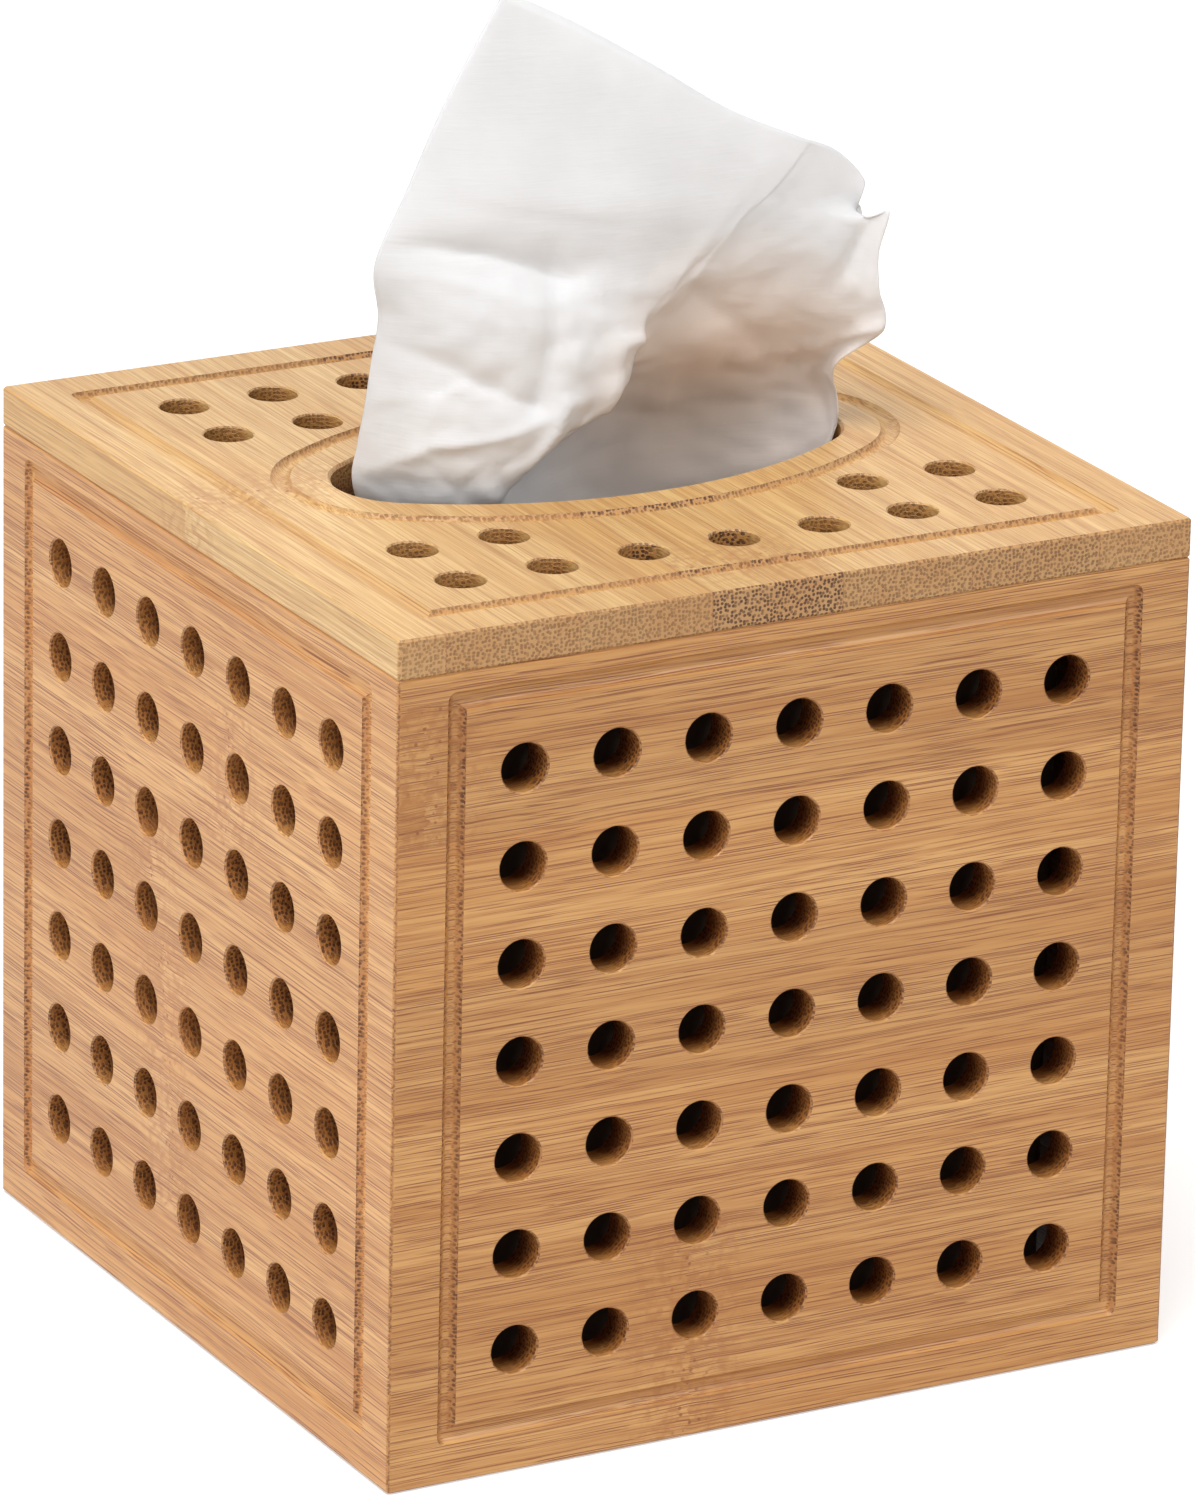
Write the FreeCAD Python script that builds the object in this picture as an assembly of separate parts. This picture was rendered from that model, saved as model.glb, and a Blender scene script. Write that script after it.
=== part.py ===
import FreeCAD, Part
import math
import os

# Cube tissue box cover of bamboo board, dropped over a card carton of pop-up tissues.
# Millimetres, +Z up. The origin is the middle of the footprint, on the surface that the cover stands on.
# The front looks along -Y and the left side along -X.

# Cover boards
cover_width = 140.0  # along X
cover_depth = 140.0  # along Y
cover_height = 140.0
side_thick = 6.5
top_thick = 6.5
corner_round = 0.7  # radius along the upright corners
edge_ease = 0.35  # flat broken along the level outer edges

# Bored holes
hole_diameter = 8.0
hole_pitch = 16.0
hole_ease = 0.25  # flat broken round the outer rim of each hole
hole_edge_gap = 1.2  # least width of board left between a hole and a groove

# Coved grooves, run with a ball-ended cutter
cutter_diameter = 3.5
groove_depth = 1.0
groove_inset = 10.2  # from the board's end to the middle of an upright run
groove_rise = 8.0  # from the rest face to the middle of the lower run
groove_drop = 4.6  # from the side board's top edge to the middle of the upper run
top_groove_inset = 9.6  # from the top board's edge to the middle of its square groove

# Oval mouth in the top board
mouth_end_margin = 25.5  # from the board's edge to the end of the mouth
mouth_width = 44.0
mouth_end_radius = 12.5
mouth_ease = 0.5  # flat broken round both rims of the mouth
oval_groove_offset = 7.9  # from the mouth's wall to the middle of the groove round it

# Card carton
carton_gap = 8.0  # from the side boards to the carton
carton_head_gap = 7.5  # from the top board to the carton
card_thick = 0.8
carton_corner_round = 1.2
carton_mouth_inset = 3.0  # how far the carton's opening lies inside the cover's mouth

# Folded tissues left in the carton
stack_side_clear = 0.8
stack_corner_round = 6.0
stack_headroom = 24.0  # from the stack to the underside of the carton's top

# Standing tissue, a sheet in upright folds
sheet_rise = 75.0  # from the top board to the sheet's highest corner
sheet_thick = 2.0  # the doubled sheet with the air between its plies
sheet_seat_clear = 0.3  # from the stack to the sheet's foot
sheet_mouth_clear = 2.0  # least room between the sheet's ends and the ends of the mouth
sheet_fold_clear = 11.0  # from the sides of the mouth to the crest of the deepest fold

# One overrun for every cut
overrun = 2.0

# Where the folds of the sheet meet, along its width, and how deep each is: forward is negative
fold_end_shares = (0.0, 0.42, 0.78, 1.0)
fold_depth_shares = (-1.0, 0.8, -0.35)

# Levels of the sheet above the top board, as shares of its rise: height, left end, right end, fold depth
sheet_level_shares = (
    (0.00, -0.97, 0.97, 1.00),
    (0.24, -0.94, 0.99, 0.95),
    (0.50, -0.89, 0.99, 0.36),
    (0.76, -0.65, 0.30, 0.14),
    (1.00, -0.42, -0.36, 0.03),
)

# Levels of the sheet's tail inside the carton: depth below the top board, left end, right end, fold depth
tail_level_shares = (
    (1.00, -0.60, 0.60, 0.30),
    (0.42, -0.80, 0.80, 0.70),
)

# Sizes that follow
half_width = cover_width / 2
half_depth = cover_depth / 2
side_height = cover_height - top_thick
hole_radius = hole_diameter / 2
cutter_radius = cutter_diameter / 2
cutter_lift = cutter_radius - groove_depth
groove_half = math.sqrt(cutter_radius**2 - cutter_lift**2)
mouth_half_length = half_width - mouth_end_margin
mouth_half_width = mouth_width / 2
carton_width = cover_width - 2 * (side_thick + carton_gap)
carton_depth = cover_depth - 2 * (side_thick + carton_gap)
carton_height = side_height - carton_head_gap
stack_width = carton_width - 2 * (card_thick + stack_side_clear)
stack_depth = carton_depth - 2 * (card_thick + stack_side_clear)
stack_height = carton_height - 2 * card_thick - stack_headroom
stack_top = card_thick + stack_height
sheet_half_width = mouth_half_length - sheet_mouth_clear
sheet_fold_depth = mouth_half_width - sheet_fold_clear - sheet_thick / 2


def vec(x, y, z):
    return FreeCAD.Vector(x, y, z)


UP = vec(0, 0, 1)


def block(width, depth, height, base):
    """A block centred on the Z axis, with its underside at base."""
    return Part.makeBox(width, depth, height, vec(-width / 2, -depth / 2, base))


def upright_edges(shape):
    """The edges that run along Z."""
    picked = []
    for edge in shape.Edges:
        low = edge.Vertexes[0].Point
        high = edge.Vertexes[-1].Point
        if math.hypot(high.x - low.x, high.y - low.y) < abs(high.z - low.z):
            picked.append(edge)
    return picked


def level_edges(shape, height):
    """The edges that lie at one height."""
    picked = []
    for edge in shape.Edges:
        box = edge.BoundBox
        if abs(box.ZMin - height) < edge_ease / 2 and abs(box.ZMax - height) < edge_ease / 2:
            picked.append(edge)
    return picked


def eased_block(height, base):
    """The cover's outer form between two heights, with its corners rounded and its level edges eased."""
    body = block(cover_width, cover_depth, height, base)
    body = body.makeFillet(corner_round, upright_edges(body))
    return body.makeChamfer(edge_ease, level_edges(body, base) + level_edges(body, base + height))


# Ovals made of four arcs that meet in a smooth line


class Oval:
    """An oval with its long axis along X: two end arcs and two side arcs."""

    def __init__(self, half_length, half_width, end_radius):
        spread = half_length**2 - 2 * half_length * end_radius + half_width**2
        self.end_radius = end_radius
        self.end_centre = half_length - end_radius
        self.side_radius = spread / (2 * (half_width - end_radius))
        self.side_centre = self.side_radius - half_width
        self.turn = math.atan2(self.side_centre, self.end_centre)

    def grown(self, by):
        """The same oval with every arc moved out by one distance."""
        half_length = self.end_centre + self.end_radius + by
        half_width = self.side_radius - self.side_centre + by
        return Oval(half_length, half_width, self.end_radius + by)

    def arcs(self):
        """Centre, radius, first angle and last angle of each arc, going round."""
        turn = self.turn
        return (
            (vec(self.end_centre, 0, 0), self.end_radius, -turn, turn),
            (vec(0, -self.side_centre, 0), self.side_radius, turn, math.pi - turn),
            (vec(-self.end_centre, 0, 0), self.end_radius, math.pi - turn, math.pi + turn),
            (vec(0, self.side_centre, 0), self.side_radius, math.pi + turn, 2 * math.pi - turn),
        )

    def wire(self, height):
        """The outline at one height."""
        edges = []
        for centre, radius, first, last in self.arcs():
            middle = (first + last) / 2
            points = [centre + arm(radius, angle) + UP * height for angle in (first, middle, last)]
            edges.append(Part.Arc(*points).toShape())
        return Part.Wire(edges)

    def prism(self, base, height):
        """A straight plug of this outline."""
        return Part.Face(self.wire(base)).extrude(UP * height)

    def distance(self, x, y):
        """How far a point lies outside the outline."""
        x, y = abs(x), abs(y)
        if math.atan2(y, x - self.end_centre) < self.turn:
            return math.hypot(x - self.end_centre, y) - self.end_radius
        return math.hypot(x, y + self.side_centre) - self.side_radius


def arm(radius, angle):
    """A level arm from a centre."""
    return vec(radius * math.cos(angle), radius * math.sin(angle), 0)


mouth = Oval(mouth_half_length, mouth_half_width, mouth_end_radius)
groove_line = mouth.grown(oval_groove_offset)
carton_mouth = mouth.grown(-carton_mouth_inset)


# Cutters shared by the boards


def pattern_half_count(field):
    """How many holes stand on each side of the middle one, in a field of that half length."""
    room = field - groove_half - hole_edge_gap - hole_radius
    return int(room // hole_pitch)


def hole_places(field):
    """Places along one line of the pattern, from its middle."""
    count = pattern_half_count(field)
    return [hole_pitch * step for step in range(-count, count + 1)]


def hole_cutter(rim, inward, depth):
    """A drill through a board from the middle of the hole's outer rim, with the rim's broken edge."""
    start = rim - inward * overrun
    drill = Part.makeCylinder(hole_radius, depth + 2 * overrun, start, inward)
    wide = hole_radius + hole_ease
    return drill.fuse(Part.makeCone(wide, hole_radius, hole_ease, rim, inward))


def square_groove_cutter(corners):
    """A ball-ended cutter's path round four corners, from the middle of the first run, round at each turn."""
    start = (corners[0] + corners[1]) / 2
    path = Part.makePolygon([start, *corners[1:], corners[0], start])
    tip = Part.Wire(Part.makeCircle(cutter_radius, start, corners[1] - corners[0]))
    solid, frenet, round_turns = True, False, 2
    return path.makePipeShell([tip], solid, frenet, round_turns)


def oval_groove_cutters():
    """The same cutter's path along the oval round the mouth."""
    cutters = []
    for centre, radius, first, last in groove_line.arcs():
        start = centre + arm(radius, first) + UP * (cover_height + cutter_lift)
        along = UP.cross(arm(radius, first))
        tip = Part.Face(Part.Wire(Part.makeCircle(cutter_radius, start, along)))
        cutters.append(tip.revolve(centre, UP, math.degrees(last - first)))
    return cutters


def mouth_cutters():
    """The plug that opens the mouth, with the broken edges of its two rims."""
    cutters = [mouth.prism(side_height - overrun, top_thick + 2 * overrun)]
    for rim, inward in ((cover_height, -1), (side_height, 1)):
        wires = [mouth.grown(mouth_ease).wire(rim), mouth.wire(rim + inward * mouth_ease)]
        cutters.append(Part.makeLoft(wires, True, True))
    return cutters


# The five boards


def top_panel():
    board = eased_block(top_thick, side_height)
    reach_x = half_width - top_groove_inset
    reach_y = half_depth - top_groove_inset
    level = cover_height + cutter_lift
    ring = ((-reach_x, -reach_y), (reach_x, -reach_y), (reach_x, reach_y), (-reach_x, reach_y))
    cutters = [square_groove_cutter([vec(x, y, level) for x, y in ring])]
    cutters += oval_groove_cutters()
    cutters += mouth_cutters()
    least = groove_half + hole_edge_gap + hole_radius
    for x in hole_places(reach_x):
        for y in hole_places(reach_y):
            if groove_line.distance(x, y) >= least:
                cutters.append(hole_cutter(vec(x, y, cover_height), -UP, top_thick))
    return board.cut(cutters)


def side_panel(outward, across, half_reach, half_across):
    """One mitred side board. outward points out of the cover and across runs along the board's width."""
    outer = half_reach + overrun
    inner = half_reach - side_thick
    outer_half = half_across + overrun
    inner_half = half_across - side_thick
    ends = ((outer, -outer_half), (outer, outer_half), (inner, inner_half), (inner, -inner_half))
    points = [outward * reach + across * along for reach, along in ends]
    plan = Part.Face(Part.makePolygon(points + points[:1]))
    board = plan.extrude(UP * side_height).common(eased_block(side_height, 0))
    reach = half_across - groove_inset
    low = groove_rise
    high = side_height - groove_drop
    face = outward * (half_reach + cutter_lift)
    ring = ((-reach, low), (reach, low), (reach, high), (-reach, high))
    cutters = [square_groove_cutter([face + across * along + UP * height for along, height in ring])]
    middle = (low + high) / 2
    for along in hole_places(reach):
        for height in hole_places(high - middle):
            rim = outward * half_reach + across * along + UP * (middle + height)
            cutters.append(hole_cutter(rim, -outward, side_thick))
    return board.cut(cutters)


# The carton and what it holds


def tissue_carton():
    shell = block(carton_width, carton_depth, carton_height, 0)
    shell = shell.makeFillet(carton_corner_round, upright_edges(shell))
    inside_width = carton_width - 2 * card_thick
    inside_depth = carton_depth - 2 * card_thick
    hollow = block(inside_width, inside_depth, carton_height - 2 * card_thick, card_thick)
    opening = carton_mouth.prism(carton_height - card_thick - overrun, card_thick + 2 * overrun)
    return shell.cut([hollow, opening])


def tissue_stack():
    pile = block(stack_width, stack_depth, stack_height, card_thick)
    return pile.makeFillet(stack_corner_round, upright_edges(pile))


def sheet_section(height, left, right, depth):
    """The folded sheet's outline at one height: an arc for each fold, one face in front and one behind."""
    span = right - left
    ends = [left + span * share for share in fold_end_shares]
    front = []
    behind = []
    for index, share in enumerate(fold_depth_shares):
        first, last = ends[index], ends[index + 1]
        crest = share * depth
        for edges, shift in ((front, -sheet_thick / 2), (behind, sheet_thick / 2)):
            start = vec(first, shift, height)
            middle = vec((first + last) / 2, crest + shift, height)
            edges.append(Part.Arc(start, middle, vec(last, shift, height)).toShape())
    caps = []
    for x in (left, right):
        caps.append(Part.makeLine(vec(x, -sheet_thick / 2, height), vec(x, sheet_thick / 2, height)))
    return Part.Wire(Part.__sortEdges__(front + caps + behind))


def pop_up_tissue():
    foot = stack_top + sheet_seat_clear
    tail = cover_height - foot
    levels = []
    for depth_share, left_share, right_share, fold_share in tail_level_shares:
        levels.append((cover_height - tail * depth_share, left_share, right_share, fold_share))
    for height_share, left_share, right_share, fold_share in sheet_level_shares:
        levels.append((cover_height + sheet_rise * height_share, left_share, right_share, fold_share))
    sections = []
    for height, left_share, right_share, fold_share in levels:
        left = sheet_half_width * left_share
        right = sheet_half_width * right_share
        sections.append(sheet_section(height, left, right, sheet_fold_depth * fold_share))
    return Part.makeLoft(sections, True, True)


parts = {
    "top_panel": top_panel(),
    "front_panel": side_panel(vec(0, -1, 0), vec(1, 0, 0), half_depth, half_width),
    "back_panel": side_panel(vec(0, 1, 0), vec(-1, 0, 0), half_depth, half_width),
    "left_panel": side_panel(vec(-1, 0, 0), vec(0, -1, 0), half_width, half_depth),
    "right_panel": side_panel(vec(1, 0, 0), vec(0, 1, 0), half_width, half_depth),
    "tissue_carton": tissue_carton(),
    "tissue_stack": tissue_stack(),
    "pop_up_tissue": pop_up_tissue(),
}

os.makedirs("parts", exist_ok=True)
for name, shape in parts.items():
    print(name, len(shape.Solids), "solid, valid:", shape.isValid(), "volume:", round(shape.Volume))
    shape.exportStep("parts/" + name + ".step")
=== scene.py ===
"""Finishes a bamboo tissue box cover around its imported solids: boards, carton, pile, standing tissue and stage."""

import math

import bpy
import numpy as np
from mathutils import Euler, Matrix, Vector, noise


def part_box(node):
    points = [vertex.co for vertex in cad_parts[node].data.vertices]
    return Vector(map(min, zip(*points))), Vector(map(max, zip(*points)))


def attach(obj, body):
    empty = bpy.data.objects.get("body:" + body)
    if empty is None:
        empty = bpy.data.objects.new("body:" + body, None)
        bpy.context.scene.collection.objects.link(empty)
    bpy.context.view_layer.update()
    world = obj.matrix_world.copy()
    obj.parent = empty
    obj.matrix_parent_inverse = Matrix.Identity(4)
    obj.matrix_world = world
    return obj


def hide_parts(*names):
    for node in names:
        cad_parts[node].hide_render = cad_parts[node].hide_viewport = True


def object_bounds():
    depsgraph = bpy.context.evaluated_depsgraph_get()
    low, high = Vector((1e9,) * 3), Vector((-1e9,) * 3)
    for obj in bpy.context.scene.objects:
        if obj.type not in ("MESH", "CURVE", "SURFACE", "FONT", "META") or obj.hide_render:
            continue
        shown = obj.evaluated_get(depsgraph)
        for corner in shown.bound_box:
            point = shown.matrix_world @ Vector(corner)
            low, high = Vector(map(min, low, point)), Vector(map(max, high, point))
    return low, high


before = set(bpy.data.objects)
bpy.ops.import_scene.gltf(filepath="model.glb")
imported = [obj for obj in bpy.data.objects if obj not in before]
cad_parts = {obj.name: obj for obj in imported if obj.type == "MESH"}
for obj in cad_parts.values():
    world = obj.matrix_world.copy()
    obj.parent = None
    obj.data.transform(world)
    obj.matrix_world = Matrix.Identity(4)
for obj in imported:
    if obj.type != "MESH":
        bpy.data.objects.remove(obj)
CAD_LOW, CAD_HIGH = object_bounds()

bl_info = {
    "name": "Tissue box cover",
    "version": (1, 0, 0),
    "blender": (4, 5, 0),
    "location": "3D View > Sidebar > Tissue cover",
    "description": "Finishes a bamboo cube cover, its carton, the folded pile and the standing tissue",
    "category": "Object",
}

MM = 0.001
HALF_SIDE = CAD_HIGH.x

# How the grain lies on each board: the axis it runs along, the axis across the strips, the axis through the board
BOARD_AXES = {
    "top_panel": ("Y", "X", "Z"),
    "front_panel": ("X", "Z", "Y"),
    "back_panel": ("X", "Z", "Y"),
    "left_panel": ("Y", "Z", "X"),
    "right_panel": ("Y", "Z", "X"),
}

# Where the first strip of each board starts across the grain, in mm
STRIP_STARTS = {
    "top_panel": -84.9,
    "front_panel": -9.0,
    "back_panel": -14.0,
    "left_panel": -4.0,
    "right_panel": -17.0,
}

# Where the outer face of each board lies on the axis through it, in mm
OUTER_FACES = {
    "top_panel": 140.0, "front_panel": -70.0, "back_panel": 70.0, "left_panel": -70.0, "right_panel": 70.0,
}

# The tint of each board against the finish, partly painted light and shade: the front board's darker, oranger tint is
# painted shade, and the top board's paler tint is painted light
BOARD_TINTS_AND_PAINTED_SHADE = {
    "top_panel": (0.95, 1.08, 1.09),
    "front_panel": (0.77, 0.70, 0.565),
    "back_panel": (0.98, 0.95, 0.92),
    "left_panel": (0.97, 0.93, 0.84),
    "right_panel": (0.98, 0.96, 0.93),
}

# How strongly the thin fibres show on each board
BOARD_LINES = {
    "top_panel": 0.55, "front_panel": 0.95, "back_panel": 0.9, "left_panel": 1.0, "right_panel": 0.9,
}

# Each strip of each board: lightness against the finish, pore contrast, place of its knuckle along the grain in mm
NO_KNUCKLE = 99.0
STRIPS = {
    "top_panel": (
        (0.05, 0.45, 3.0), (0.03, 0.55, 4.5), (-0.01, 0.5, NO_KNUCKLE), (-0.04, 1.0, -58.0),
        (0.0, 0.6, NO_KNUCKLE), (-0.01, 0.65, 41.0), (0.03, 0.5, NO_KNUCKLE),
    ),
    "front_panel": (
        (0.04, 0.7, -16.7), (0.0, 0.8, -17.2), (0.05, 0.7, NO_KNUCKLE), (-0.03, 0.8, NO_KNUCKLE),
        (0.06, 0.7, NO_KNUCKLE), (-0.07, 0.9, -65.0), (-0.02, 0.8, NO_KNUCKLE),
    ),
    "back_panel": (
        (0.0, 0.7, 30.0), (0.04, 0.8, NO_KNUCKLE), (-0.04, 0.7, -48.0), (0.02, 0.8, NO_KNUCKLE),
        (0.05, 0.7, 12.0), (-0.03, 0.8, NO_KNUCKLE), (0.0, 0.7, NO_KNUCKLE),
    ),
    "left_panel": (
        (0.0, 0.8, NO_KNUCKLE), (-0.03, 0.9, 6.8), (0.03, 0.8, 9.5), (-0.02, 0.9, 14.4),
        (0.02, 0.8, -14.2), (-0.01, 0.7, NO_KNUCKLE), (0.0, 0.8, NO_KNUCKLE),
    ),
    "right_panel": (
        (0.02, 0.8, NO_KNUCKLE), (-0.03, 0.8, -28.0), (0.03, 0.7, NO_KNUCKLE), (0.0, 0.8, 36.0),
        (-0.04, 0.8, NO_KNUCKLE), (0.04, 0.8, NO_KNUCKLE), (0.0, 0.8, -6.0),
    ),
}

# Where each board starts in the fibres' pattern
BOARD_SEEDS = {"top_panel": 3.0, "front_panel": 17.0, "back_panel": 31.0, "left_panel": 45.0, "right_panel": 59.0}

# How strongly a strip's lightness acts on its red, green and blue
TONE_POWERS = (1.0, 1.25, 1.6)

# Depths below a board's face in m where cut wood starts to warm or a bore starts to take painted shade, and where it
# has done so, with its tints
CUT_DEPTHS = (0.00025, 0.0009)
CUT_TINT = (1.0, 0.86, 0.58)
BORE_SHADE_DEPTHS = (0.0011, 0.0058)
BORE_PAINTED_SHADE = (0.42, 0.28, 0.17)

# How far in from a board's outer edges, in m, the warmer cut wood starts and is full
RIM = (0.0003, 0.0008)

# One fold of the pile: its height and its edge's radius as shares of the pitch, and the cuts round the edge
FOLD_HEIGHT = 0.96
FOLD_RADIUS = 0.44
FOLD_CUTS = 3

# Roughness of the pile's paper
PILE_ROUGHNESS = 0.92

# Front layer of the standing tissue in mm: rows go up from the pile, columns from the left fold to the right edge
TISSUE_NET = (
    ((-24, 1, 101.6), (-19, -2, 101.6), (-14, -3, 101.6), (-9, -4, 101.6), (-5, -4, 101.6),
     (2, -1, 101.6), (9, 2, 101.6), (16, 2, 101.6), (23, -1, 101.6), (25, -2, 101.6)),
    ((-31, 1.5, 115), (-26, -3, 115), (-21, -5, 115), (-16, -6, 115), (-11, -6, 115),
     (-3, -2, 115), (8, 3, 115), (18, 3, 115), (29, -1.5, 115), (31.5, -2.5, 115)),
    ((-37, 2, 128), (-32, -4, 128), (-27, -7, 128), (-22.5, -9, 128), (-18, -9, 128),
     (-9, -3.5, 128), (5, 4, 128), (21, 4.5, 128), (36, -2.5, 128), (38.5, -3.5, 128)),
    ((-41, 2, 139.5), (-36.5, -5, 139.5), (-31.5, -9.5, 139.8), (-27, -12, 140), (-22, -12.2, 140),
     (-14, -5, 140), (2.4, 2, 141.2), (22.4, 3, 141.2), (40.5, -2.5, 140), (42.6, -4.5, 140)),
    ((-40.6, 1.5, 146), (-35.5, -7, 146.5), (-28.5, -12, 146.8), (-20.5, -15, 147), (-13, -14.5, 147),
     (-8.5, -6, 147), (1.6, -2.3, 149.5), (21.1, -1.8, 149.9), (40.8, -2.5, 146), (42.3, -5, 146)),
    ((-39.7, 1, 152), (-33.5, -8, 153), (-24.5, -13.5, 153), (-13, -16, 153), (-3.5, -14, 153),
     (-1.3, -8.5, 154), (5.4, -7.2, 157.1), (21.8, -6.7, 156.5), (39, -4.5, 151.5), (40.6, -8, 151.5)),
    ((-38.5, 1, 160), (-31, -7.5, 161), (-21, -13, 161), (-9.5, -15, 161), (0, -13.5, 160.5),
     (2.1, -11, 161.8), (9.1, -9.2, 164.3), (24.2, -9.2, 163.3), (40.4, -10, 159.3), (46.2, -13, 158)),
    ((-37.4, 1, 167), (-30, -7, 168), (-19.5, -11.5, 168.5), (-8, -13.2, 168.5), (3.5, -12.5, 168),
     (7.7, -11.8, 167.9), (15, -10.4, 168.5), (27.9, -10, 167.5), (41.1, -12, 165.3), (44.6, -14, 165)),
    ((-38.3, 0.5, 176), (-30, -4.5, 175.5), (-18.5, -8, 175), (-5, -11, 174.5), (10, -11.5, 173),
     (14.1, -11.2, 172.7), (20.2, -10.9, 173), (30.5, -10.9, 172.2), (41.4, -12, 171.1), (44.2, -14, 171)),
    ((-33, 0.5, 187), (-25.5, -4.5, 186), (-14.5, -8, 184.5), (-1, -10.8, 182.5), (17, -11, 179),
     (20.9, -10.9, 178.4), (26.3, -10.5, 178.2), (33.7, -10.4, 177.3), (41.3, -11.8, 176.5), (45.6, -14.5, 178.2)),
    ((-26.2, 0.5, 201), (-16.5, -3.5, 198), (-4.5, -6.8, 193.5), (9, -9.2, 188.5), (25, -10, 183.7),
     (28.2, -9.8, 183), (32.2, -9.4, 182.2), (37.1, -9.2, 180.7), (41.8, -9.3, 178.8), (43.2, -10, 177)),
    ((-16, 1, 217.3), (-6, -2, 212.4), (7, -5, 204.6), (20, -7.5, 196.2), (32.5, -8.5, 190.4),
     (35.5, -8.3, 189.2), (38.5, -8, 187.8), (41.2, -8, 185.8), (43.6, -8.3, 183.3), (44.6, -8.6, 181.4)),
)

# Points made between two of the net's rows and columns
ROW_STEPS = 12
COLUMN_STEPS = 9

# How far the back layer lies behind each column of the front one, from the column beside the left fold, in mm
LAYER_GAPS = (3.2, 4.2, 4.8, 5.0, 4.6, 4.0, 3.6, 3.6)

# How far the back layer shifts to the right, as a share of that, and how far its top edge lies lower, in mm
BACK_SHIFT_SHARE = 0.8
BACK_TOP_DROP = 2.6

# Middle and reach of the painted warm light, bounced from the wood onto the paper in the fold, in m, the share of the
# reach over which it fades, its greatest share
PAINTED_BOUNCE_SPOT = (0.019, -0.002, 0.146)
PAINTED_BOUNCE_REACH = 0.034
PAINTED_BOUNCE_FADE = 0.8
PAINTED_BOUNCE_SHARE = 0.75

# Dents of the crumpled paper: size in mm and share of the facets, then of the fine waves
FACETS = ((13.0, 0.6), (6.0, 0.4))
WAVE_SIZE = 3.1
WAVE_SHARE = 0.35

# The back layer takes its dents from another place, this many mm away
BACK_DENT_SHIFT = 40.0

# The paper gets calmer above this height, over this rise, both in mm, up to this share
CALM_START = 164
CALM_RISE = 24
CALM_MOST = 0.8

# Creases of the front layer: points along X and Z in mm, how far they stand out, how wide they fade
CREASES = (
    (((-40.8, 178.5), (-31.5, 178.7), (-21.6, 177.1), (-9.4, 173.1)), -1, 1.7),
    (((-41.7, 174.2), (-31.9, 174.5), (-22, 171.7), (-13.1, 168.5)), 0.45, 3.4),
    (((-12.1, 174.8), (-13, 166.3), (-15.6, 158.4), (-17.2, 153.5)), -0.9, 2.2),
    (((-22.9, 139.2), (-18.1, 145.2), (-14.3, 150.3), (-12.7, 154.2)), 0.9, 1.6),
    (((-18.5, 139.9), (-13.1, 146.3), (-8.2, 151.3)), -0.5, 1.8),
    (((-15.2, 141.5), (-5.9, 148.5), (-2.8, 157.3), (-2.3, 162.9)), 0.8, 1.6),
    (((-44.1, 146.5), (-36, 154.1), (-28.4, 158.7), (-16.1, 153.5)), -0.8, 2),
    (((-42, 152.6), (-33.3, 155.5), (-27.8, 157.9)), 0.6, 1.6),
    (((-42.5, 143.6), (-39.2, 140.1)), -0.8, 1.5),
    (((-41.2, 141.8), (-33.1, 147.9), (-23.2, 149.6), (-16.6, 151.8)), 0.7, 1.8),
    (((-43.8, 165.4), (-33.9, 162), (-22.8, 157.5)), -0.5, 2),
    (((3.8, 162.3), (11.3, 173.1), (20.1, 182.2), (26.7, 187)), 0.17, 1.4),
    (((8.2, 163.2), (14.7, 172.7), (22.4, 180.9)), 0.15, 1.2),
    (((-0.7, 162.1), (2.1, 162.2), (4.4, 161.1)), 1, 1.3),
    (((13.7, 167.1), (21.8, 160.9), (31.1, 152.4)), -0.7, 3),
    (((32.8, 152.8), (39, 155.1), (45.7, 158.3)), 0.8, 1.6),
    (((38.1, 164.8), (41.3, 171.6), (43.4, 177.6)), -0.6, 1.8),
    (((35, 153.9), (34.7, 145.6), (36.6, 136.9)), -0.8, 2),
    (((11.5, 137.4), (13, 147.6)), 0.4, 1.2),
    (((-27.3, 185.7), (-15.1, 182.7), (-1.8, 180.5)), -0.25, 3),
)

# Half width of the floor, how far it lies below the solids, and where the lamps point, in m
FLOOR_REACH = 6.0
FLOOR_DROP = 0.0002
LAMP_AIM = (0.0, 0.0, 0.08)

# Width of the camera's sensor in mm, and how far it sees in m
SENSOR_WIDTH = 36.0
VIEW_END = 50.0


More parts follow.
